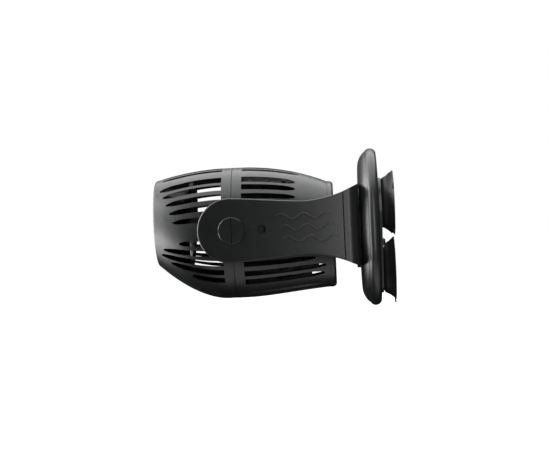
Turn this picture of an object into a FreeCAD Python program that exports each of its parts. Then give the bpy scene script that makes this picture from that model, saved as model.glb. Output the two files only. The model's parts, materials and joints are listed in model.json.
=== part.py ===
import FreeCAD, Part
import math
import os
from FreeCAD import Vector, Rotation, Placement

# Wave maker pump on a suction bracket, millimetres.
# Frame: +Z up, +X towards the aquarium glass. The origin is on the glass, at the
# centre of the three suction cups. The pump blows towards -X.

# ---- driving dimensions -------------------------------------------------------

PIVOT_X = -75.5          # tilt pivot, which runs along Y
PIVOT_Z = 1.4            # the pivot lies a little above the base's axis
BARREL_R = 31.2          # widest radius of the barrel, at the pivot
NOSE = 37.4              # pivot to the mouth of the barrel
TAIL = 44.7              # pivot to the rear end of the shell
BAND = 4.7               # plain band on each side of the seam
NOSE_R = 20.2            # radius and height of the mouth
NOSE_Z = 6.1
TAIL_R = 25.2            # radius and height of the rear end
TAIL_Z = -2.5
WALL = 2.3               # shell wall
LIP_ROUND = 1.0

# five slots above and five below each side pad, nearest the pad first: degrees round the shell
SIDE_SLOTS = 5
SLOT_WIDTH = 2.5
HIGH_FIRST = 13.5
HIGH_PITCH = 10.05
LOW_FIRST = 8.2
LOW_PITCH_FRONT = 9.0
LOW_PITCH_REAR = 9.8
CROWN_PITCH = 9.0        # five slots over the top and five underneath
KEEL_PITCH = 12.0

MOTOR_TILT = 4.0         # degrees that the motor axis falls towards the rear
MOTOR_Z = 3.2            # height of the motor axis at the pivot plane
MOUTH_R = 17.0           # outlet opening
FRONT_WALL = 2.0         # wall around the outlet opening
THROAT_R = 16.0          # duct around the propeller
DUCT_WALL = 1.1
HUB_R = 6.5
SHAFT_R = 1.25
MAGNET_R = 7.0
WELL_R = 7.5             # bore of the sealed rotor well
CAN_R = 24.0             # motor housing, which is slimmer towards the rear
CAN_TAIL_R = 20.8
CAN_WALL = 1.4
CAN_FRONT = -3.0
CAN_REAR = 39.3

ARM_IN = 31.9            # inner and outer faces of the bracket's arms, from the middle
ARM_OUT = 35.3
WEB_IN = 56.6            # pivot to the bracket's rear web
WEB_OUT = 59.0
FLANGE_OUT = 59.7        # round flange on the web, which bears on the base
ARM_END_R = 14.9
ARM_TIP = 0.8            # the round end's centre, ahead of the pivot
ARM_STEP_U = 52.1        # the arms step in here, towards the root
ARM_STEP = 1.3
DIMPLE_U = 13.8          # blind hole in each arm's outer face
DIMPLE_R = 2.1
TRUNNION_R = 6.2
TRUNNION_PLAY = 0.08
FLANGE_R = 19.2          # round flange at the root of the bracket
STUD_R = 2.5

DISH_R = 37.5
DISH_SEAT = 60.0         # pivot to the seat that the bracket turns on
DISH_FRONT = 59.5        # pivot to the dish's front face
DISH_BACK = 68.3
PLATE_BACK = 69.6
CUP_R = 15.0
CUP_ROOT_R = 11.7
TAB = 1.8                # pull tab beyond the lip
STEM_R = 4.0
CUP_PLACES = {
    "upper_left": (18.0, 11.2),
    "upper_right": (-18.0, 11.2),
    "lower": (0.0, -20.0),
}

SCREW_R = 1.5
SCREW_HEAD_R = 2.6


# ---- helpers ------------------------------------------------------------------

def at(from_pivot):
    """Row X of a distance behind the pivot."""
    return PIVOT_X + from_pivot


def disc(radius, start, end, y=0.0, z=0.0):
    """Cylinder along X between two X values."""
    return Part.makeCylinder(radius, end - start, Vector(start, y, z), Vector(1, 0, 0))


def ring(outer, inner, start, end, y=0.0, z=0.0):
    return disc(outer, start, end, y, z).cut(disc(inner, start - 1, end + 1, y, z))


def post(radius, start, end, x, z):
    """Cylinder along Y between two Y values."""
    return Part.makeCylinder(radius, end - start, Vector(x, start, z), Vector(0, 1, 0))


def block(low, high):
    size = [b - a for a, b in zip(low, high)]
    return Part.makeBox(*size, Vector(*low))


def turned(points, x_axis_z=0.0):
    """Solid of revolution about X from (x, radius) points; "arc" marks the middle of a curve."""
    edges = []
    start = Vector(points[0][0], 0, points[0][1] + x_axis_z)
    middle = None
    for point in points[1:] + points[:1]:
        here = Vector(point[0], 0, point[1] + x_axis_z)
        if len(point) == 3 and middle is None:
            middle = here
            continue
        if middle is not None:
            edges.append(Part.Arc(start, middle, here).toShape())
        else:
            edges.append(Part.makeLine(start, here))
        start = here
        middle = None
    face = Part.Face(Part.Wire(edges))
    return face.revolve(Vector(0, 0, x_axis_z), Vector(1, 0, 0), 360)


def around_x(shape, count, first=0.0, z=0.0):
    """Copies of a shape spread evenly round an X axis."""
    copies = []
    for i in range(count):
        copy = shape.copy()
        copy.rotate(Vector(0, 0, z), Vector(1, 0, 0), first + i * 360.0 / count)
        copies.append(copy)
    return copies


def on_motor_axis(shape):
    """Moves a shape built along X through the origin onto the tilted motor axis."""
    moved = shape.copy()
    moved.rotate(Vector(0, 0, 0), Vector(0, 1, 0), MOTOR_TILT)
    moved.translate(Vector(PIVOT_X, 0, MOTOR_Z))
    return moved


def join(shapes):
    first, rest = shapes[0], shapes[1:]
    return first.fuse(rest).removeSplitter() if rest else first


def mirrored_y(shape):
    return shape.mirror(Vector(0, 0, 0), Vector(0, 1, 0))


# ---- barrel: two egg-shaped shells joined at the pivot plane --------------------

def nose_section(distance):
    """Radius and centre height of the front shell, at a distance ahead of the pivot."""
    t = max(0.0, (distance - BAND) / (NOSE - BAND))
    return BARREL_R - (BARREL_R - NOSE_R) * t ** 1.8, NOSE_Z * t ** 1.75


def tail_section(distance):
    """Radius and centre height of the rear shell, at a distance behind the pivot."""
    t = max(0.0, (distance - BAND) / (TAIL - BAND))
    return BARREL_R - (BARREL_R - TAIL_R) * t ** 1.7, TAIL_Z * t ** 3.0


def lofted(section, length, side, inset=0.0, steps=9):
    """Solid through circular sections from the pivot plane out to a length."""
    wires = []
    for i in range(steps + 1):
        distance = length * i / steps
        radius, height = section(distance)
        centre = Vector(PIVOT_X + side * distance, 0, height)
        circle = Part.Circle(centre, Vector(side, 0, 0), radius - inset)
        wires.append(Part.Wire(circle.toShape()))
    return Part.makeLoft(wires, True)


def surface_point(section, distance, angle):
    """(y, z) of the shell's outside at an angle up from +Y, seen from the pivot's own level."""
    radius, height = section(distance)
    turn = math.radians(angle)
    out = height * math.sin(turn) + math.sqrt(radius ** 2 - (height * math.cos(turn)) ** 2)
    return out * math.cos(turn), out * math.sin(turn)


def slot(section, side, angle, end):
    """Cutter for one slot: a curved strip along the shell, pulled straight out of it.

    It runs from the band to a distance from the pivot and tapers off there. Side slots
    are pulled along Y, and the slots over the crown and keel along Z.
    """
    crown = 60 < abs(angle) < 120
    upper = []
    lower = []
    for share, width in ((0, 1), (0.35, 1), (0.7, 0.95), (0.9, 0.75), (1, 0.3)):
        distance = BAND + (end - BAND) * share
        y, z = surface_point(section, distance, angle)
        middle = y if crown else z
        x = PIVOT_X + side * distance
        upper.append((x, middle + width * SLOT_WIDTH / 2))
        lower.append((x, middle - width * SLOT_WIDTH / 2))
    place = (lambda x, v: Vector(x, v, 0)) if crown else (lambda x, v: Vector(x, 0, v))
    edges = []
    for line in (upper, lower):
        curve = Part.BSplineCurve()
        curve.interpolate([place(x, v) for x, v in line])
        edges.append(curve.toShape())
    for tip in (0, -1):
        edges.append(Part.makeLine(place(*upper[tip]), place(*lower[tip])))
    face = Part.Face(Part.Wire(Part.__sortEdges__(edges)))
    out = math.copysign(BARREL_R + 5, angle if crown else 90 - abs(angle))
    return face.extrude(Vector(0, 0, out) if crown else Vector(0, out, 0))


def both_sides(section, side, angle, end):
    return [slot(section, side, turn, end) for turn in (angle, math.copysign(180, angle) - angle)]


def front_slots():
    high_ends = [27.7 + 1.6 * i for i in range(SIDE_SLOTS)]
    low_ends = [25.0, 33.0, 34.3, 29.8, 20.0]
    cutters = []
    for i in range(SIDE_SLOTS):
        cutters += both_sides(nose_section, -1, HIGH_FIRST + HIGH_PITCH * i, high_ends[i])
        cutters += both_sides(nose_section, -1, -LOW_FIRST - LOW_PITCH_FRONT * i, low_ends[i])
        cutters.append(slot(nose_section, -1, 90 + CROWN_PITCH * (i - 2), 33.5))
        cutters.append(slot(nose_section, -1, -90 + KEEL_PITCH * (i - 2), 18.0))
    return cutters


def rear_slots():
    low_ends = [34.0, 36.0, 38.0, 42.8, 42.0]
    cutters = []
    for i in range(SIDE_SLOTS):
        cutters += both_sides(tail_section, 1, HIGH_FIRST + HIGH_PITCH * i, 29.6)
        cutters += both_sides(tail_section, 1, -LOW_FIRST - LOW_PITCH_REAR * i, low_ends[i])
        cutters.append(slot(tail_section, 1, 90 + CROWN_PITCH * (i - 2), 31.5))
        cutters.append(slot(tail_section, 1, -90 + KEEL_PITCH * (i - 2), 42.5))
    return cutters


PAD_R = 11.0
PAD_Y = 31.4
TRUNNION_Y = ARM_OUT + 0.45
BARB_R = TRUNNION_R + 0.9


def trunnions():
    """Both split trunnions, with their pads and the barbs that hold the arms on."""
    pad = post(PAD_R, BARREL_R - 4, PAD_Y, PIVOT_X, PIVOT_Z)
    stub = post(TRUNNION_R, BARREL_R - 4, TRUNNION_Y, PIVOT_X, PIVOT_Z)
    rim = [e for e in stub.Edges if e.BoundBox.YMin > TRUNNION_Y - 0.1 and e.BoundBox.XLength > 1]
    stub = stub.makeChamfer(0.35, rim)
    barb = block(
        (PIVOT_X - BARB_R, ARM_OUT + 0.07, PIVOT_Z - 0.8),
        (PIVOT_X + BARB_R, TRUNNION_Y - 0.1, PIVOT_Z + 0.8),
    )
    near = join([pad, stub, barb])
    return join([near, mirrored_y(near)])


def half(shape, side):
    """The part of a shape ahead of (-1) or behind (+1) the seam, with the seam's own gap."""
    gap = 0.12
    edges = sorted([PIVOT_X + side * gap, PIVOT_X + side * 60])
    return shape.common(block((edges[0], -60, -60), (edges[1], 60, 60)))


def front_cage():
    shell = lofted(nose_section, NOSE, -1)
    rim = [e for e in shell.Edges if e.BoundBox.XMax < at(-NOSE + 0.1)]
    shell = shell.makeFillet(LIP_ROUND, rim)
    hollow = lofted(nose_section, NOSE, -1, WALL)
    keep = block((at(-NOSE + FRONT_WALL), -40, -40), (at(1), 40, 40))
    shell = shell.cut(hollow.common(keep))
    mouth = disc(MOUTH_R, at(-NOSE - 1), at(-NOSE + 4), z=NOSE_Z)
    shell = shell.cut(mouth)
    shell = shell.cut(Part.makeCompound(front_slots()))
    body = join([shell, trunnions()])
    return half(body, -1)


def rear_cage():
    shell = lofted(tail_section, TAIL, 1)
    hollow = lofted(tail_section, TAIL, 1, WALL)
    shell = shell.cut(hollow)
    shell = shell.cut(Part.makeCompound(rear_slots()))
    body = join([shell, trunnions()])
    tongue = ring(BARREL_R - WALL - 0.1, BARREL_R - WALL - 1.6, at(-2.5), at(1.0))
    root = ring(BARREL_R - WALL + 0.4, BARREL_R - WALL - 1.6, at(0.5), at(3.5))
    pads = post(PAD_R + 0.3, -40, 40, PIVOT_X, PIVOT_Z).common(block((at(-5), -40, -40), (at(0.2), 40, 40)))
    return join([half(body, 1), tongue.cut(pads), root])


# ---- rear end ------------------------------------------------------------------

RING_BACK = TAIL + 2.7
CAP_R = 21.5
CAP_BACK = RING_BACK - 1.7
CAP_SCREW_LENGTH = 3.0
GLAND_Z = -5.0
GLAND_R = 4.5
CABLE_R = 3.1


def rear_ring():
    """Ring that closes the shell's rear end."""
    return turned([
        (at(TAIL), CAP_R + 0.05),
        (at(TAIL), TAIL_R + 0.25),
        (at(RING_BACK - 1.7), TAIL_R + 0.05),
        (at(RING_BACK - 0.5), TAIL_R - 0.5, "arc"),
        (at(RING_BACK), TAIL_R - 1.7),
        (at(RING_BACK), CAP_R + 0.05),
    ], TAIL_Z)


def rear_cap():
    plate = disc(CAP_R, at(TAIL - 0.2), at(CAP_BACK), z=TAIL_Z)
    passage = disc(GLAND_R, at(TAIL - 5), at(RING_BACK + 5), z=GLAND_Z)
    holes = [disc(SCREW_R, at(TAIL - 5), at(RING_BACK + 5), y=y, z=z) for y, z in cap_screw_places()]
    return plate.cut(passage).cut(Part.makeCompound(holes))


def cap_screw_places():
    radius = 17.0
    places = []
    for i in range(4):
        turn = math.radians(45 + 90 * i)
        places.append((radius * math.cos(turn), TAIL_Z + radius * math.sin(turn)))
    return places


def screw(x_head, length, y, z, side=1):
    """Pan-head screw along X with a cross recess; side +1 puts the head towards +X."""
    head = turned([
        (0, 0),
        (0, SCREW_HEAD_R),
        (0.9, SCREW_HEAD_R - 0.35, "arc"),
        (1.4, SCREW_HEAD_R - 1.2),
        (1.4, 0),
    ])
    shank = disc(SCREW_R - 0.05, -length, 0)
    body = join([head, shank])
    recess = block((0.7, -1.5, -0.3), (2, 1.5, 0.3))
    cross = recess.copy()
    cross.rotate(Vector(0, 0, 0), Vector(1, 0, 0), 90)
    body = body.cut(Part.makeCompound([recess, cross]))
    if side < 0:
        body.rotate(Vector(0, 0, 0), Vector(0, 0, 1), 180)
    body.translate(Vector(x_head, y, z))
    return body


def rear_cap_screws():
    return Part.makeCompound([screw(at(CAP_BACK), CAP_SCREW_LENGTH, y, z) for y, z in cap_screw_places()])


def cable_gland():
    """Hollow gland that the mains lead enters by."""
    return turned([
        (at(TAIL - 3), CABLE_R),
        (at(TAIL - 3), GLAND_R),
        (at(CAP_BACK), GLAND_R),
        (at(CAP_BACK), GLAND_R + 1.3),
        (at(RING_BACK + 0.8), GLAND_R + 1.3),
        (at(RING_BACK + 4.0), GLAND_R - 0.4),
        (at(RING_BACK + 4.0), CABLE_R),
    ], GLAND_Z)


# ---- water path -----------------------------------------------------------------

BELL_REAR = -20.2
BELL_R = 22.0
STRUT_Y = 2.5            # half width of the struts that hold the duct to the motor
FIN_FRONT = -33.0        # fins along the top and bottom of the duct
FIN_OUT = 22.5


def outlet_nozzle():
    """Duct from the bell mouth behind the propeller to the front opening, on two struts."""
    front = -NOSE - 1
    duct = turned([
        (front, MOUTH_R),
        (front + 12, THROAT_R),
        (BELL_REAR - 4, THROAT_R),
        (BELL_REAR - 1.2, THROAT_R + 1.2, "arc"),
        (BELL_REAR, THROAT_R + 4),
        (BELL_REAR, BELL_R),
        (BELL_REAR - 1.6, BELL_R),
        (BELL_REAR - 2.4, THROAT_R + 3.4, "arc"),
        (BELL_REAR - 5, THROAT_R + DUCT_WALL),
        (front + 12, THROAT_R + DUCT_WALL),
        (front, MOUTH_R + DUCT_WALL),
    ])
    trim = block((at(-NOSE - 5), -40, -40), (at(-NOSE + FRONT_WALL + 0.02), 40, 40))
    upper_strut = block((BELL_REAR - 1.0, -STRUT_Y, 19.2), (CAN_FRONT, STRUT_Y, 23.0))
    lower_strut = block((BELL_REAR - 1.0, -STRUT_Y, -27.0), (CAN_FRONT, STRUT_Y, -19.6))
    fins = []
    for z in (THROAT_R + 0.6, -FIN_OUT):
        fin = block((FIN_FRONT, -STRUT_Y, z), (BELL_REAR - 0.5, STRUT_Y, z + FIN_OUT - THROAT_R - 0.6))
        fins.append(on_motor_axis(fin).common(lofted(nose_section, NOSE, -1, WALL + 0.3)))
    nozzle = on_motor_axis(join([duct, upper_strut, lower_strut])).cut(trim)
    return join([nozzle] + fins)


GUARD_HUB_R = 4.6


def outlet_guard():
    """Fixed vanes ahead of the propeller; their hub carries the shaft's front end."""
    hub = turned([
        (-34.5, 0),
        (-34.0, 2.4, "arc"),
        (-32.0, GUARD_HUB_R),
        (-30.0, GUARD_HUB_R),
        (-30.0, 2.4),
        (-32.6, 2.4),
        (-32.6, 0),
    ])
    vane = block((-33.0, -0.6, 3.5), (-30.2, 0.6, THROAT_R + 1.6))
    guard = join([hub] + around_x(vane, 6))
    front = -NOSE - 1
    bore = turned([
        (front, 0),
        (front, MOUTH_R - 0.02),
        (front + 12, THROAT_R - 0.02),
        (front + 12, 0),
    ])
    return on_motor_axis(guard.common(bore))


def front_bush():
    return on_motor_axis(ring(2.4, SHAFT_R, -32.5, -30.0))


def rear_bush():
    return on_motor_axis(ring(3.2, SHAFT_R, 27.2, 29.8))


def ceramic_shaft():
    return on_motor_axis(disc(SHAFT_R, -32.4, 29.7))


BLADES = 4


def blade():
    """One propeller blade: a twisted plate from hub to tip."""
    wires = []
    for radius in (HUB_R - 0.8, 9.5, 12.5, THROAT_R - 0.7):
        share = (radius - HUB_R) / (THROAT_R - HUB_R)
        pitch = math.radians(52 - 24 * share)
        chord = 9.5 + 1.5 * share
        thick = 1.5 - 0.7 * share
        along = Vector(math.sin(pitch), math.cos(pitch), 0)
        across = Vector(-math.cos(pitch), math.sin(pitch), 0)
        middle = Vector(-22.6 - 1.2 * share, 0, radius)
        nose = middle - along * (chord / 2)
        tail = middle + along * (chord / 2)
        back = middle + across * (thick / 2 + 0.8)
        front = middle + across * (0.8 - thick / 2)
        edges = [
            Part.Arc(nose, back, tail).toShape(),
            Part.Arc(tail, front, nose).toShape(),
        ]
        wires.append(Part.Wire(edges))
    return Part.makeLoft(wires, True)


def propeller():
    hub = turned([
        (-29.4, SHAFT_R + 0.05),
        (-29.4, 2.6),
        (-28.4, 5.2, "arc"),
        (-26.0, HUB_R),
        (-16.5, HUB_R),
        (-14.6, HUB_R - 1.6, "arc"),
        (-14.0, 4.2),
        (-6.0, 4.2),
        (-6.0, SHAFT_R + 0.05),
    ])
    blades = around_x(blade(), BLADES, 20)
    bore = disc(SHAFT_R + 0.05, -40, 40)
    wheel = join([hub] + blades).cut(bore)
    return on_motor_axis(wheel.common(disc(THROAT_R - 0.6, -40, 0)))


def rotor_sleeve():
    """Plastic core that joins the propeller to the magnet."""
    return on_motor_axis(ring(3.6, SHAFT_R + 0.05, -6.0, 26.0))


def rotor_magnet():
    return on_motor_axis(ring(MAGNET_R, 3.6, -1.0, 25.0))


def thrust_washer():
    return on_motor_axis(ring(3.0, SHAFT_R, 26.3, 27.2))


# ---- sealed motor ---------------------------------------------------------------

WELL_WALL = 0.9
CORE_START = 2.0
CORE_END = 22.0
CORE_R = 22.1
CAN_WAIST = 26.0         # the housing narrows between these two
CAN_NECK = 33.0


def rotor_well():
    """Thin tube, closed at the rear, that keeps water off the windings."""
    outer = WELL_R + WELL_WALL
    tube = ring(outer, WELL_R, CAN_FRONT, 27.2)
    floor = ring(outer, 3.2, 27.2, 29.8)
    stop = disc(outer, 29.8, 31.0)
    return on_motor_axis(join([tube, floor, stop]))


def motor_can():
    """Sealed housing with a rounded front and three ribs."""
    shell = turned([
        (CAN_FRONT, WELL_R + WELL_WALL),
        (CAN_FRONT, CAN_R - 3),
        (CAN_FRONT + 0.9, CAN_R - 0.9, "arc"),
        (CAN_FRONT + 3, CAN_R),
        (CAN_WAIST, CAN_R),
        (CAN_NECK, CAN_TAIL_R),
        (CAN_REAR, CAN_TAIL_R),
        (CAN_REAR, CAN_TAIL_R - CAN_WALL),
        (CAN_NECK, CAN_TAIL_R - CAN_WALL),
        (CAN_WAIST, CAN_R - CAN_WALL),
        (CAN_FRONT + 3, CAN_R - CAN_WALL),
        (CAN_FRONT + 1.6, CAN_R - 2.6),
        (CAN_FRONT + 1.6, WELL_R + WELL_WALL),
    ])
    ribs = []
    for i in range(3):
        start = 6 + 8 * i
        ribs.append(ring(CAN_R + 0.7, CAN_R - 0.5, start, start + 1.6))
    housing = on_motor_axis(join([shell] + ribs))
    return join([housing, keel()]).removeSplitter()


def keel():
    """Rib under the housing that stands on the floor of the rear shell."""
    blank = block((at(5), -2, -28), (at(40), 2, -18)).common(lofted(tail_section, TAIL, 1, WALL + 0.4))
    inside_front = disc(CAN_R - 0.7, 0, CAN_WAIST)
    inside_rear = disc(CAN_TAIL_R - 0.7, 0, CAN_REAR - 2)
    past_the_end = disc(CAN_R + 10, CAN_REAR - 2, CAN_REAR + 10)
    return blank.cut(on_motor_axis(join([inside_front, inside_rear]))).cut(on_motor_axis(past_the_end))


def stator_core():
    """Laminated ring with four poles."""
    outer = ring(CORE_R, CORE_R - 3.2, CORE_START, CORE_END)
    pole = block((CORE_START, -2.6, WELL_R + 1.2), (CORE_END, 2.6, CORE_R - 2))
    core = join([outer] + around_x(pole, 4, 45))
    bore = disc(WELL_R + WELL_WALL + 0.05, 0, 40)
    return on_motor_axis(core.cut(bore))


def pole_collar(inner_w, outer_w, overhang, low, high):
    """Rectangular collar round a stator pole, standing along +Z."""
    outside = block((CORE_START - overhang, -outer_w, low), (CORE_END + overhang, outer_w, high))
    inside = block((CORE_START - 0.02, -inner_w, low - 1), (CORE_END + 0.02, inner_w, high + 1))
    return outside.cut(inside)


def bobbins():
    collar = pole_collar(2.62, 3.3, 0.7, 10.2, 18.0)
    return on_motor_axis(Part.makeCompound(around_x(collar, 4, 45)))


def coil_windings():
    coil = pole_collar(3.35, 5.0, 2.4, 10.6, 17.6)
    core = block((CORE_START - 0.75, -3.35, 8), (CORE_END + 0.75, 3.35, 20))
    coil = coil.cut(core)
    return on_motor_axis(Part.makeCompound(around_x(coil, 4, 45)))


def potting():
    """Resin that fills the rear of the motor."""
    return on_motor_axis(disc(COVER_R, 31.05, CAN_REAR - 2.2))


COVER_R = CAN_TAIL_R - CAN_WALL - 0.05
GROOVE_R = COVER_R - 0.95


def motor_end_cover():
    body = join([disc(COVER_R, CAN_REAR - 1.6, CAN_REAR), disc(CAN_TAIL_R, CAN_REAR, CAN_REAR + 1.2)])
    groove = ring(CAN_TAIL_R, GROOVE_R, CAN_REAR - 1.2, CAN_REAR - 0.4)
    return on_motor_axis(body.cut(groove))


def motor_seal_ring():
    return on_motor_axis(ring(COVER_R + 0.03, GROOVE_R, CAN_REAR - 1.2, CAN_REAR - 0.4))


def rubber_mounts(can):
    """Four soft blocks that hold the motor inside the rear shell."""
    block_shape = Part.makeCylinder(3.2, 12, Vector(35.8, 0, CAN_TAIL_R - 1), Vector(0, 0, 1))
    blocks = [on_motor_axis(b) for b in around_x(block_shape, 4, 45)]
    inside = lofted(tail_section, TAIL, 1, WALL + 0.02)
    return Part.makeCompound([b.common(inside).cut(can) for b in blocks])


# ---- bracket ----------------------------------------------------------------------

# half widths of an arm at distances behind the pivot
ARM_WIDTHS = [
    (-ARM_TIP, ARM_END_R),
    (13.9, 13.8),
    (28.3, 12.6),
    (36.3, 12.4),
    (44.3, 13.7),
    (50.3, 15.3),
    (55.3, 17.4),
    (WEB_OUT, 19.1),
]


def arm_outline():
    """Side outline of the bracket: round at the pivot, waisted, flared at the root."""
    upper = Part.BSplineCurve()
    upper.interpolate([Vector(at(u), 0, w) for u, w in ARM_WIDTHS])
    lower = Part.BSplineCurve()
    lower.interpolate([Vector(at(u), 0, -w) for u, w in ARM_WIDTHS])
    root_top = Vector(at(WEB_OUT), 0, ARM_WIDTHS[-1][1])
    root_low = Vector(at(WEB_OUT), 0, -ARM_WIDTHS[-1][1])
    tip = Part.Arc(
        Vector(at(-ARM_TIP), 0, -ARM_END_R),
        Vector(at(-ARM_TIP - ARM_END_R), 0, 0),
        Vector(at(-ARM_TIP), 0, ARM_END_R),
    )
    wire = Part.Wire([tip.toShape(), upper.toShape(), Part.makeLine(root_top, root_low), lower.toShape()])
    face = Part.Face(wire)
    face.translate(Vector(0, -60, PIVOT_Z))
    return face.extrude(Vector(0, 120, 0))


def u_slab(half_width, rear, corner):
    """Slab as seen from above: two straight sides and a rear with rounded corners."""
    bend = corner * (1 - math.sqrt(0.5))
    left = Vector(at(rear - corner), half_width, -30)
    left_mid = Vector(at(rear - bend), half_width - bend, -30)
    left_rear = Vector(at(rear), half_width - corner, -30)
    right, right_mid, right_rear = [Vector(p.x, -p.y, p.z) for p in (left, left_mid, left_rear)]
    front_left = Vector(at(-40), half_width, -30)
    front_right = Vector(at(-40), -half_width, -30)
    edges = [
        Part.makeLine(front_left, left),
        Part.Arc(left, left_mid, left_rear).toShape(),
        Part.makeLine(left_rear, right_rear),
        Part.Arc(right_rear, right_mid, right).toShape(),
        Part.makeLine(right, front_right),
        Part.makeLine(front_right, front_left),
    ]
    return Part.Face(Part.Wire(edges)).extrude(Vector(0, 0, 60))


def plan_outline():
    """The bracket's U, seen from above, with thicker arms up to the step."""
    root = u_slab(ARM_OUT - ARM_STEP, WEB_OUT, 5.0)
    arms = block((at(-40), -ARM_OUT, -30), (at(ARM_STEP_U), ARM_OUT, 30))
    return root.fuse(arms).cut(u_slab(ARM_IN, WEB_IN, 5.5))


def edges_on_faces(shape, y):
    """Edges that lie in either of the planes Y = +y and Y = -y."""
    found = []
    for edge in shape.Edges:
        box = edge.BoundBox
        if abs(abs(box.YMin) - y) < 0.01 and abs(abs(box.YMax) - y) < 0.01 and box.YLength < 0.01:
            if edge.Length > 3:
                found.append(edge)
    return found


def bracket_yoke():
    body = arm_outline().common(plan_outline())
    body = body.makeFillet(0.7, edges_on_faces(body, ARM_OUT))
    flange = disc(FLANGE_R, at(WEB_OUT - 1.4), at(FLANGE_OUT))
    body = join([body, flange])
    body = body.cut(post(TRUNNION_R + TRUNNION_PLAY, -50, 50, PIVOT_X, PIVOT_Z))
    body = body.cut(disc(STUD_R + 0.05, at(WEB_IN - 5), at(WEB_OUT + 5)))
    body = body.cut(disc(5.4, at(WEB_IN - 5), at(WEB_IN + 1.7)))
    dimple = post(DIMPLE_R, ARM_OUT - 1.4, ARM_OUT + 5, at(DIMPLE_U), PIVOT_Z)
    line = block(
        (at(-ARM_END_R - 1), ARM_OUT - 0.2, PIVOT_Z - 0.15),
        (at(DIMPLE_U), ARM_OUT + 1, PIVOT_Z + 0.15),
    )
    near = Part.makeCompound([dimple, line])
    return body.cut(near).cut(mirrored_y(near))


def pivot_washers():
    """Thin washers between the barrel's pads and the arms."""
    washer = post(10.5, PAD_Y, PAD_Y + 0.3, PIVOT_X, PIVOT_Z)
    washer = washer.cut(post(TRUNNION_R + 0.01, 20, 50, PIVOT_X, PIVOT_Z))
    return Part.makeCompound([washer, mirrored_y(washer)])


def swivel_washer():
    return ring(15.0, STUD_R + 0.05, at(FLANGE_OUT), at(FLANGE_OUT + 0.25))


# ---- base ---------------------------------------------------------------------------

POCKET_START = 62.9
PLATE_THICK = 1.6
NUT_R = 4.6
NUT_THICK = 3.2


def swivel_stud():
    head = disc(5.0, at(WEB_IN + 0.2), at(WEB_IN + 1.6))
    slot_cut = block((at(WEB_IN - 1), -4, -0.5), (at(WEB_IN + 0.9), 4, 0.5))
    return join([head, disc(STUD_R, at(WEB_IN + 1.6), at(POCKET_START + NUT_THICK))]).cut(slot_cut)


def swivel_nut():
    sides = Part.makePolygon([
        Vector(at(POCKET_START), NUT_R * math.cos(math.radians(a)), NUT_R * math.sin(math.radians(a)))
        for a in range(0, 361, 60)
    ])
    nut = Part.Face(sides).extrude(Vector(NUT_THICK, 0, 0))
    return nut.cut(disc(STUD_R, at(POCKET_START - 1), at(POCKET_START + 5)))


def base_dish():
    """Round base with a rolled rim, hollow behind."""
    return turned([
        (at(DISH_SEAT), STUD_R),
        (at(DISH_SEAT), FLANGE_R + 0.6),
        (at(DISH_FRONT), FLANGE_R + 1.3),
        (at(DISH_FRONT), 29.0),
        (at(DISH_FRONT + 1.1), DISH_R - 4.3, "arc"),
        (at(DISH_FRONT + 3.6), DISH_R - 1.3),
        (at(DISH_FRONT + 6.6), DISH_R, "arc"),
        (at(DISH_BACK), DISH_R - 1.6),
        (at(DISH_BACK), 33.4),
        (at(POCKET_START + 1.0), 33.0),
        (at(POCKET_START), 31.0),
        (at(POCKET_START), STUD_R),
    ])


def plate_outline(start, end):
    """Three round lobes joined by a wide triangle."""
    lobes = []
    corners = []
    for y, z in CUP_PLACES.values():
        lobes.append(disc(CUP_ROOT_R, at(start), at(end), y, z))
        outward = math.atan2(z, y)
        for swing in (-60, 60):
            turn = outward + math.radians(swing)
            corners.append(Vector(at(start), y + CUP_ROOT_R * math.cos(turn), z + CUP_ROOT_R * math.sin(turn)))
    middle = Part.Face(Part.makePolygon(corners + corners[:1])).extrude(Vector(end - start, 0, 0))
    return join([middle] + lobes)


def plate_screw_places():
    radius = 15.5
    return [(radius * math.cos(math.radians(a)), radius * math.sin(math.radians(a))) for a in (90, 210, 330)]


def back_plate():
    """Cover that holds the suction cups, let into the back of the dish."""
    inner = disc(32.6, at(DISH_BACK - PLATE_THICK), at(DISH_BACK - 0.2))
    raised = plate_outline(DISH_BACK - 0.4, PLATE_BACK)
    body = join([inner, raised])
    cuts = [disc(STEM_R + 0.05, at(60), at(80), y, z) for y, z in CUP_PLACES.values()]
    cuts += [disc(SCREW_R, at(60), at(80), y, z) for y, z in plate_screw_places()]
    return body.cut(Part.makeCompound(cuts))


def back_plate_screws():
    return Part.makeCompound([screw(at(PLATE_BACK), 6.4, y, z) for y, z in plate_screw_places()])


STEM_HEAD_FRONT = 3.4
STEM_HEAD_BACK = 5.2


def suction_cup(y, z):
    """Soft cup with a barbed stem; its lip lies on the glass and its pull tab points outwards."""
    plate = at(PLATE_BACK)
    cup = turned([
        (plate - STEM_HEAD_BACK, 0),
        (plate - STEM_HEAD_BACK, 4.6),
        (plate - STEM_HEAD_FRONT, 5.6),
        (plate - STEM_HEAD_FRONT, STEM_R),
        (plate, STEM_R),
        (plate, CUP_ROOT_R - 1.0),
        (plate + 0.9, CUP_ROOT_R),
        (plate + 3.6, CUP_R - 2.0),
        (-0.9, CUP_R),
        (0, CUP_R),
        (0, CUP_R - 1.2),
        (-1.8, CUP_R - 4.0, "arc"),
        (-2.9, CUP_R - 9.0),
        (-2.9, 0),
    ])
    tab = block((-0.7, CUP_R - 0.6, -1.6), (-0.05, CUP_R + TAB, 1.6))
    cup = join([cup, tab])
    cup.rotate(Vector(0, 0, 0), Vector(1, 0, 0), math.degrees(math.atan2(z, y)))
    cup.translate(Vector(0, y, z))
    return cup


def cup_retainers():
    """Rings behind the plate that lock the stems."""
    start, end = at(PLATE_BACK - STEM_HEAD_FRONT), at(DISH_BACK - PLATE_THICK)
    return Part.makeCompound([ring(6.8, STEM_R + 0.05, start, end, y, z) for y, z in CUP_PLACES.values()])


# ---- write the parts -------------------------------------------------------------------

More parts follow.
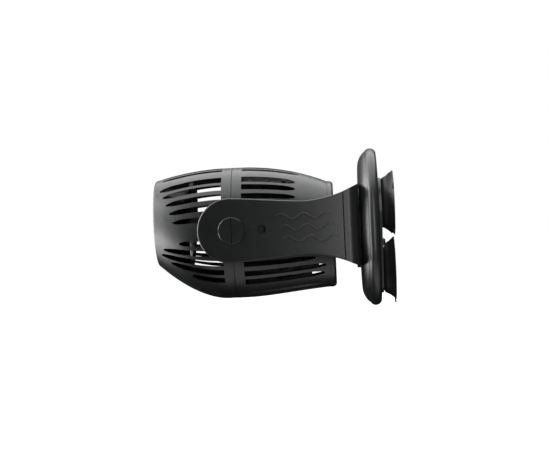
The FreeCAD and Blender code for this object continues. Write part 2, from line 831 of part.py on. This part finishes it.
def build():
    nodes = {}
    nodes["base_dish"] = base_dish()
    nodes["back_plate"] = back_plate()
    nodes["back_plate_screws"] = back_plate_screws()
    for name, (y, z) in CUP_PLACES.items():
        nodes["suction_cup_" + name] = suction_cup(y, z)
    nodes["cup_retainers"] = cup_retainers()
    nodes["swivel_stud"] = swivel_stud()
    nodes["swivel_nut"] = swivel_nut()
    nodes["swivel_washer"] = swivel_washer()
    nodes["bracket_yoke"] = bracket_yoke()
    nodes["pivot_washers"] = pivot_washers()
    nodes["front_cage"] = front_cage()
    nodes["rear_cage"] = rear_cage()
    nodes["rear_ring"] = rear_ring()
    nodes["rear_cap"] = rear_cap()
    nodes["rear_cap_screws"] = rear_cap_screws()
    nodes["cable_gland"] = cable_gland()
    nodes["outlet_nozzle"] = outlet_nozzle()
    nodes["outlet_guard"] = outlet_guard()
    nodes["front_bush"] = front_bush()
    nodes["rear_bush"] = rear_bush()
    nodes["ceramic_shaft"] = ceramic_shaft()
    nodes["propeller"] = propeller()
    nodes["rotor_sleeve"] = rotor_sleeve()
    nodes["rotor_magnet"] = rotor_magnet()
    nodes["thrust_washer"] = thrust_washer()
    nodes["rotor_well"] = rotor_well()
    nodes["motor_can"] = motor_can()
    nodes["stator_core"] = stator_core()
    nodes["bobbins"] = bobbins()
    nodes["coil_windings"] = coil_windings()
    nodes["potting"] = potting()
    nodes["motor_end_cover"] = motor_end_cover()
    nodes["motor_seal_ring"] = motor_seal_ring()
    nodes["rubber_mounts"] = rubber_mounts(nodes["motor_can"])
    return nodes


os.makedirs("parts", exist_ok=True)
for node, shape in build().items():
    shape.exportStep("parts/" + node + ".step")
    box = shape.BoundBox
    print(f"{node:26s} solids {len(shape.Solids):2d} valid {shape.isValid()} volume {shape.Volume:9.1f} "
          f"x {box.XMin:6.1f}..{box.XMax:6.1f} y {box.YMin:6.1f}..{box.YMax:6.1f} z {box.ZMin:6.1f}..{box.ZMax:6.1f}")
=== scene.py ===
import json
import math

import bmesh
import bpy
from mathutils import Matrix, Vector

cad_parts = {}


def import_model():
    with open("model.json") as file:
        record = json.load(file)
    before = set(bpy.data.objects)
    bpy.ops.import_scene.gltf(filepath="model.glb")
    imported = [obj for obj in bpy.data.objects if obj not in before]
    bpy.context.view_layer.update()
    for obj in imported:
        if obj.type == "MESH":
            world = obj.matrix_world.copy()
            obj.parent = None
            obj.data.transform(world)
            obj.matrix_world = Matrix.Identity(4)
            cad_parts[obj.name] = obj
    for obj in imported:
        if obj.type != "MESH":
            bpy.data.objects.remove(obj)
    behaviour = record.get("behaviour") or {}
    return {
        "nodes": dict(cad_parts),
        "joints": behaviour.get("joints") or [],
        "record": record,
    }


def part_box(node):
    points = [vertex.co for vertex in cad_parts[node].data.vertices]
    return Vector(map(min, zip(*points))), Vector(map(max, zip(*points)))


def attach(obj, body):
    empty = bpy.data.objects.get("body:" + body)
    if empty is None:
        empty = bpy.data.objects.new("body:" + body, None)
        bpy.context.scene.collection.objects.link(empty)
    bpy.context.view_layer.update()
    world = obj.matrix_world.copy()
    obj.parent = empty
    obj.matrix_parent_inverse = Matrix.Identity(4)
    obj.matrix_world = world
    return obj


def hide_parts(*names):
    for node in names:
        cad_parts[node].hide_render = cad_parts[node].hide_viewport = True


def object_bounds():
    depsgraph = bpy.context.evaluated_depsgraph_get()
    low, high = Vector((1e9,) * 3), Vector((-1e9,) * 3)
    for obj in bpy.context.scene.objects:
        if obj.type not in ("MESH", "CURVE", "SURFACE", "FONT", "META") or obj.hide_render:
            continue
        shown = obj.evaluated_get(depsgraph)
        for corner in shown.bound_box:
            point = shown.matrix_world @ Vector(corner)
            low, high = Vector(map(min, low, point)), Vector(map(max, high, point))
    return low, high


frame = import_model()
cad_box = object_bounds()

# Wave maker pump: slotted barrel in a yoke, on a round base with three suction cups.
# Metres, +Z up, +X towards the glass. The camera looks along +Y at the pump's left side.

MM = 0.001


# ---- materials ------------------------------------------------------------------

class Shader:
    """A node material under construction."""

    def __init__(self, name):
        self.material = bpy.data.materials.new(name)
        self.material.use_nodes = True
        self.tree = self.material.node_tree
        self.bsdf = self.tree.nodes["Principled BSDF"]
        coords = self.tree.nodes.new("ShaderNodeTexCoord")
        self.position = coords.outputs["Object"]

    def node(self, kind, **inputs):
        made = self.tree.nodes.new(kind)
        for key, value in inputs.items():
            socket = made.inputs[key.replace("_", " ")]
            if isinstance(value, bpy.types.NodeSocket):
                self.tree.links.new(value, socket)
            else:
                socket.default_value = value
        return made

    def stretched(self, x, y, z):
        """Position with each axis scaled, for grain that runs one way."""
        made = self.node("ShaderNodeMapping", Vector=self.position)
        made.inputs["Scale"].default_value = (x, y, z)
        return made.outputs["Vector"]

    def noise(self, scale, detail=4.0, roughness=0.6, where=None):
        place = self.position if where is None else where
        made = self.node("ShaderNodeTexNoise", Vector=place, Scale=scale, Detail=detail)
        made.inputs["Roughness"].default_value = roughness
        return made.outputs["Fac"]

    def bands(self, scale, direction, distortion=0.0):
        made = self.node("ShaderNodeTexWave", Vector=self.position, Scale=scale, Distortion=distortion)
        made.bands_direction = direction
        return made.outputs["Fac"]

    def ramp(self, factor, stops):
        made = self.node("ShaderNodeValToRGB", Fac=factor)
        elements = made.color_ramp.elements
        while len(elements) < len(stops):
            elements.new(0.5)
        for element, (place, colour) in zip(elements, stops):
            element.position = place
            element.color = colour
        return made.outputs["Color"]

    def link(self, output, name):
        self.tree.links.new(output, self.bsdf.inputs[name])

    def set(self, **values):
        for key, value in values.items():
            self.bsdf.inputs[key.replace("_", " ")].default_value = value

    def colour(self, factor, low, high):
        self.link(self.ramp(factor, [(0.3, low), (0.7, high)]), "Base Color")

    def roughness(self, factor, low, high):
        self.link(self.ramp(factor, [(0.3, grey(low)), (0.7, grey(high))]), "Roughness")

    def bumps(self, *layers):
        """Bump from (height output, strength, distance) layers."""
        normal = None
        for height, strength, distance in layers:
            bump = self.node("ShaderNodeBump", Height=height, Strength=strength, Distance=distance)
            if normal is not None:
                self.tree.links.new(normal, bump.inputs["Normal"])
            normal = bump.outputs["Normal"]
        self.link(normal, "Normal")


def grey(value, tint=0.0):
    """A grey, leaning to blue with a positive tint."""
    return (value * (1 - tint), value, value * (1 + tint), 1.0)


def moulded_plastic(name, tone, roughness, grain=0.10):
    """Satin injection-moulded plastic: fine spark texture and faint handling marks."""
    shader = Shader(name)
    shader.colour(shader.noise(90.0, 3.0), grey(tone * 0.85, 0.05), grey(tone * 1.15, 0.05))
    shader.roughness(shader.noise(420.0, 5.0, 0.7), roughness * 0.9, roughness * 1.12)
    shader.bumps(
        (shader.noise(5200.0, 2.0), grain, 0.00003),
        (shader.noise(260.0, 3.0), 0.05, 0.0002),
    )
    shader.set(IOR=1.5)
    return shader.material


def soft_rubber(name, tone, roughness):
    """Soft rubber with a dusty bloom."""
    shader = Shader(name)
    bloom = shader.noise(160.0, 6.0, 0.7)
    shader.colour(bloom, grey(tone * 0.7, 0.02), grey(tone * 1.4, 0.02))
    shader.roughness(shader.noise(700.0, 4.0), roughness * 0.85, roughness * 1.15)
    shader.bumps((shader.noise(900.0, 3.0), 0.08, 0.00008))
    shader.set(IOR=1.52)
    return shader.material


def brushed_steel(name):
    shader = Shader(name)
    streaks = shader.noise(900.0, 3.0, 0.6, shader.stretched(0.15, 1.0, 1.0))
    shader.colour(streaks, grey(0.45), grey(0.62))
    shader.roughness(streaks, 0.22, 0.38)
    shader.bumps((streaks, 0.06, 0.00005))
    shader.set(Metallic=1.0)
    return shader.material


def polished_ceramic(name):
    shader = Shader(name)
    shader.colour(shader.noise(500.0, 4.0), (0.74, 0.71, 0.64, 1.0), (0.82, 0.80, 0.74, 1.0))
    shader.roughness(shader.noise(300.0), 0.10, 0.18)
    shader.set(IOR=1.7)
    return shader.material


def laminated_steel(name):
    """Stack of thin sheets with dark joints between them."""
    shader = Shader(name)
    sheets = shader.bands(620.0, "X")
    shader.link(shader.ramp(sheets, [(0.05, grey(0.05)), (0.3, grey(0.22))]), "Base Color")
    shader.roughness(shader.noise(800.0), 0.35, 0.5)
    shader.bumps((sheets, 0.3, 0.00006))
    shader.set(Metallic=0.9)
    return shader.material


def nylon(name):
    shader = Shader(name)
    shader.colour(shader.noise(200.0), (0.55, 0.53, 0.46, 1.0), (0.63, 0.61, 0.54, 1.0))
    shader.roughness(shader.noise(600.0), 0.4, 0.55)
    return shader.material


def wound_copper(name):
    """Enamelled wire laid side by side."""
    shader = Shader(name)
    turns = shader.bands(900.0, "Z", 0.4)
    shader.link(
        shader.ramp(turns, [(0.1, (0.16, 0.04, 0.015, 1.0)), (0.5, (0.72, 0.27, 0.11, 1.0))]),
        "Base Color",
    )
    shader.roughness(shader.noise(400.0), 0.2, 0.35)
    shader.bumps((turns, 0.6, 0.0001))
    shader.set(Metallic=0.9)
    return shader.material


def cast_resin(name):
    shader = Shader(name)
    shader.colour(shader.noise(60.0, 6.0, 0.5), (0.012, 0.011, 0.010, 1.0), (0.030, 0.028, 0.026, 1.0))
    shader.roughness(shader.noise(120.0), 0.12, 0.24)
    shader.bumps((shader.noise(70.0, 2.0), 0.2, 0.0004))
    return shader.material


def sintered_magnet(name):
    shader = Shader(name)
    shader.colour(shader.noise(1500.0, 5.0, 0.8), grey(0.045), grey(0.11))
    shader.roughness(shader.noise(900.0), 0.45, 0.6)
    shader.bumps((shader.noise(1800.0, 3.0), 0.15, 0.00005))
    shader.set(Metallic=0.6)
    return shader.material


finishes = {
    "shell_plastic": moulded_plastic("shell_black", 0.016, 0.36),
    "inner_plastic": moulded_plastic("inner_black", 0.011, 0.42),
    "propeller_plastic": moulded_plastic("propeller_black", 0.020, 0.28, 0.05),
    "cup_rubber": soft_rubber("cup_rubber", 0.012, 0.42),
    "seal_rubber": soft_rubber("seal_rubber", 0.014, 0.6),
    "stainless": brushed_steel("stainless"),
    "ceramic": polished_ceramic("ceramic"),
    "core_steel": laminated_steel("core_steel"),
    "bobbin_plastic": nylon("bobbin_nylon"),
    "copper_wire": wound_copper("copper_wire"),
    "resin": cast_resin("resin"),
    "magnet": sintered_magnet("magnet"),
}

for part in frame["record"]["subparts"]:
    mesh = frame["nodes"][part["node"]].data
    mesh.materials.clear()
    mesh.materials.append(finishes[part["material_slot"]])


# ---- soft suction cups --------------------------------------------------------------

LIP = 15.0 * MM           # lip radius
LIP_MIDDLE = 14.4 * MM    # where the record puts each lip's mount, from the cup's centre


def smoothed(points, steps=4):
    """Catmull-Rom curve through an open list of 2-D points."""
    path = [points[0]] + points + [points[-1]]
    curve = []
    for a, b, c, d in zip(path, path[1:], path[2:], path[3:]):
        a, b, c, d = Vector(a), Vector(b), Vector(c), Vector(d)
        for j in range(steps):
            t = j / steps
            straight = 2 * b + (c - a) * t
            bend = (2 * a - 5 * b + 4 * c - d) * t ** 2 + (3 * b - 3 * c + d - a) * t ** 3
            curve.append(0.5 * (straight + bend))
    return curve + [Vector(points[-1])]


def add_turned(shape, profile, segments=112):
    """Adds a closed surface of revolution about X; the profile starts and ends on the axis."""
    first = shape.verts.new((profile[0][0], 0, 0))
    last = shape.verts.new((profile[-1][0], 0, 0))
    rings = []
    for x, radius in profile[1:-1]:
        loop = []
        for i in range(segments):
            turn = 2 * math.pi * i / segments
            loop.append(shape.verts.new((x, radius * math.cos(turn), radius * math.sin(turn))))
        rings.append(loop)
    for i in range(segments):
        k = (i + 1) % segments
        shape.faces.new((first, rings[0][i], rings[0][k]))
        shape.faces.new((last, rings[-1][k], rings[-1][i]))
        for near, far in zip(rings, rings[1:]):
            shape.faces.new((near[i], far[i], far[k], near[k]))


def cup_profile(plate):
    """Half section of a cup: stem behind the plate, bell, thin lip, and the hollow inside."""
    stem = 3.85 * MM
    head = [
        (plate - 5.1 * MM, 0),
        (plate - 5.1 * MM, 3.6 * MM),
        (plate - 4.9 * MM, 4.6 * MM),
        (plate - 3.9 * MM, 5.3 * MM),
        (plate - 3.5 * MM, 5.1 * MM),
        (plate - 3.45 * MM, stem),
        (plate - 0.3 * MM, stem),
        (plate + 0.05 * MM, stem + 0.5 * MM),
    ]
    bell = [
        (plate + 0.05 * MM, LIP - 5.4 * MM),
        (plate + 0.3 * MM, LIP - 4.2 * MM),
        (plate + 1.1 * MM, LIP - 3.2 * MM),
        (plate + 2.6 * MM, LIP - 2.5 * MM),
        (-1.9 * MM, LIP - 1.5 * MM),
        (-0.8 * MM, LIP - 0.5 * MM),
        (-0.3 * MM, LIP - 0.05 * MM),
        (-0.1 * MM, LIP),
        (-0.02 * MM, LIP - 0.1 * MM),
    ]
    hollow = [
        (-0.3 * MM, LIP - 1.0 * MM),
        (-1.0 * MM, LIP - 2.6 * MM),
        (-1.9 * MM, LIP - 4.8 * MM),
        (-2.6 * MM, LIP - 7.6 * MM),
        (-2.9 * MM, LIP - 10.4 * MM),
        (-2.8 * MM, 2.9 * MM),
        (-2.3 * MM, 2.2 * MM),
        (-2.1 * MM, 1.0 * MM),
        (-2.1 * MM, 0),
    ]
    return smoothed(head) + smoothed(bell + hollow)


def add_tab(shape):
    """Adds the pull tab, a thin tongue beyond the lip towards +Z."""
    root, tip, half = 14.3 * MM, 16.8 * MM, 1.7 * MM
    outline = [(-half, root)]
    for i in range(9):
        turn = math.pi * i / 8
        outline.append((-half * math.cos(turn), tip - half + half * math.sin(turn)))
    outline.append((half, root))
    sheets = []
    for x in (-0.75 * MM, -0.08 * MM):
        sheets.append([shape.verts.new((x, y, z)) for y, z in outline])
    front, back = sheets
    shape.faces.new(front)
    shape.faces.new(list(reversed(back)))
    for i in range(len(outline)):
        k = (i + 1) % len(outline)
        shape.faces.new((front[k], front[i], back[i], back[k]))


def suction_cup(mount):
    name = mount["name"].removeprefix("suction_lip_")
    lip = Vector(mount["pos_m"])
    centre = lip - lip.normalized() * LIP_MIDDLE
    shape = bmesh.new()
    add_turned(shape, cup_profile(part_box("back_plate")[1].x))
    add_tab(shape)
    bmesh.ops.recalc_face_normals(shape, faces=shape.faces)
    mesh = bpy.data.meshes.new("soft_cup_" + name)
    shape.to_mesh(mesh)
    shape.free()
    mesh.shade_smooth()
    mesh.materials.append(finishes["cup_rubber"])
    cup = bpy.data.objects.new("soft_cup_" + name, mesh)
    bpy.context.scene.collection.objects.link(cup)
    outward = math.atan2(-lip.y, lip.z)
    cup.matrix_world = Matrix.Translation(centre) @ Matrix.Rotation(outward, 4, "X")
    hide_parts("suction_cup_" + name)
    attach(cup, "base")


for mount in frame["record"]["mounts"]:
    if mount["name"].startswith("suction_lip_"):
        suction_cup(mount)


# ---- raised wave relief on the arms -------------------------------------------------

def wave_rib(side, length, height, start, rise, name):
    """A raised wavy line on an arm's outer face, as a bevelled curve."""
    arm_low, arm_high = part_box("bracket_yoke")
    face = arm_high.y if side > 0 else arm_low.y
    data = bpy.data.curves.new(name, "CURVE")
    data.dimensions = "3D"
    data.bevel_depth = 0.55 * MM
    data.bevel_resolution = 3
    data.use_fill_caps = True
    points = 25
    line = data.splines.new("POLY")
    line.points.add(points - 1)
    for i in range(points):
        share = i / (points - 1)
        swing = math.sin(share * 5 * math.pi)
        line.points[i].co = (start + share * length, face - side * 0.12 * MM, height + rise * swing, 1)
        line.points[i].radius = 0.35 + 0.65 * math.sin(math.pi * share) ** 0.5
    rib = bpy.data.objects.new(name, data)
    bpy.context.scene.collection.objects.link(rib)
    data.materials.append(finishes["shell_plastic"])
    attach(rib, "bracket")


PIVOT = Vector(next(j for j in frame["joints"] if j["name"] == "pump_tilt")["pos_m"])
WAVE_LENGTH = 26 * MM
WAVE_RISE = 1.35 * MM
FIRST_WAVE_HEIGHT = 5.4   # millimetres above the pivot, then down by the pitch for each row
WAVE_PITCH = 5.2
FIRST_WAVE_START = 20.5   # millimetres behind the pivot, then back by the shift for each row
WAVE_SHIFT = 1.5

for side in (-1, 1):
    for row in range(3):
        wave_rib(
            side,
            WAVE_LENGTH,
            PIVOT.z + (FIRST_WAVE_HEIGHT - WAVE_PITCH * row) * MM,
            PIVOT.x + (FIRST_WAVE_START + WAVE_SHIFT * row) * MM,
            WAVE_RISE,
            f"wave_{'right' if side > 0 else 'left'}_{row}",
        )


# ---- stage, light, camera --------------------------------------------------------

def add_light(name, size, watts, place, target):
    data = bpy.data.lights.new(name, "AREA")
    data.shape = "RECTANGLE"
    data.size, data.size_y = size
    data.energy = watts
    lamp = bpy.data.objects.new(name, data)
    bpy.context.scene.collection.objects.link(lamp)
    lamp.location = place
    lamp.rotation_euler = (Vector(target) - Vector(place)).to_track_quat("-Z", "Y").to_euler()
    lamp.visible_camera = False


def backdrop():
    """Pale floor well below the object, which neither lights nor mirrors in it."""
    size = 4.0
    mesh = bpy.data.meshes.new("floor")
    corners = [(-size, -size, 0), (size, -size, 0), (size, size, 0), (-size, size, 0)]
    mesh.from_pydata(corners, [], [(0, 1, 2, 3)])
    floor = bpy.data.objects.new("floor", mesh)
    floor.location.z = cad_box[0][2] - 0.05
    bpy.context.scene.collection.objects.link(floor)
    shader = Shader("floor_white")
    shader.colour(shader.noise(3.0), grey(0.93), grey(0.96))
    shader.set(Roughness=0.9, Emission_Color=grey(1.0), Emission_Strength=1.0)
    mesh.materials.append(shader.material)
    floor.visible_diffuse = False
    floor.visible_glossy = False


def world():
    """White where the camera sees it, and a dim grey fill for the object."""
    studio = bpy.data.worlds.new("studio")
    studio.use_nodes = True
    tree = studio.node_tree
    output = tree.nodes["World Output"]
    fill = tree.nodes["Background"]
    fill.inputs["Color"].default_value = grey(1.0, 0.04)
    fill.inputs["Strength"].default_value = 0.02
    white = tree.nodes.new("ShaderNodeBackground")
    white.inputs["Color"].default_value = grey(1.0)
    path = tree.nodes.new("ShaderNodeLightPath")
    mix = tree.nodes.new("ShaderNodeMixShader")
    tree.links.new(path.outputs["Is Camera Ray"], mix.inputs[0])
    tree.links.new(fill.outputs[0], mix.inputs[1])
    tree.links.new(white.outputs[0], mix.inputs[2])
    tree.links.new(mix.outputs[0], output.inputs["Surface"])
    bpy.context.scene.world = studio
    bpy.context.scene.view_settings.view_transform = "Standard"


CAMERA_DISTANCE = 0.75
SENSOR_WIDTH = 36.0
HALF_VIEW = 0.132         # half the width that the picture takes in at the object, in metres
YAW = math.radians(2.2)
PITCH = math.radians(-0.35)
ROLL = math.radians(2.6)


def camera():
    data = bpy.data.cameras.new("camera")
    data.sensor_width = SENSOR_WIDTH
    data.lens = CAMERA_DISTANCE * (SENSOR_WIDTH / 2) / HALF_VIEW
    cam = bpy.data.objects.new("camera", data)
    bpy.context.scene.collection.objects.link(cam)
    place = Matrix.Translation((-0.0278, -CAMERA_DISTANCE, 0.0075))
    turn = Matrix.Rotation(YAW, 4, "Z") @ Matrix.Rotation(math.radians(90) + PITCH, 4, "X")
    cam.matrix_world = place @ turn @ Matrix.Rotation(-ROLL, 4, "Z")
    bpy.context.scene.camera = cam


backdrop()
world()
camera()
middle = Vector((-0.055, 0, 0))
add_light("top_softbox", (1.0, 0.95), 9, (-0.06, 0.16, 0.55), middle)
add_light("left_softbox", (0.6, 0.9), 15, (-0.65, 0.02, 0.10), middle)
add_light("right_panel", (0.03, 0.2), 0.09, (-0.005, -0.14, 0.01), (-0.015, -0.03, 0))
add_light("low_left_softbox", (0.5, 0.25), 1.4, (-0.6, 0.05, -0.25), middle)
add_light("low_fill", (0.8, 0.4), 1.0, (0.0, -0.12, -0.5), middle)
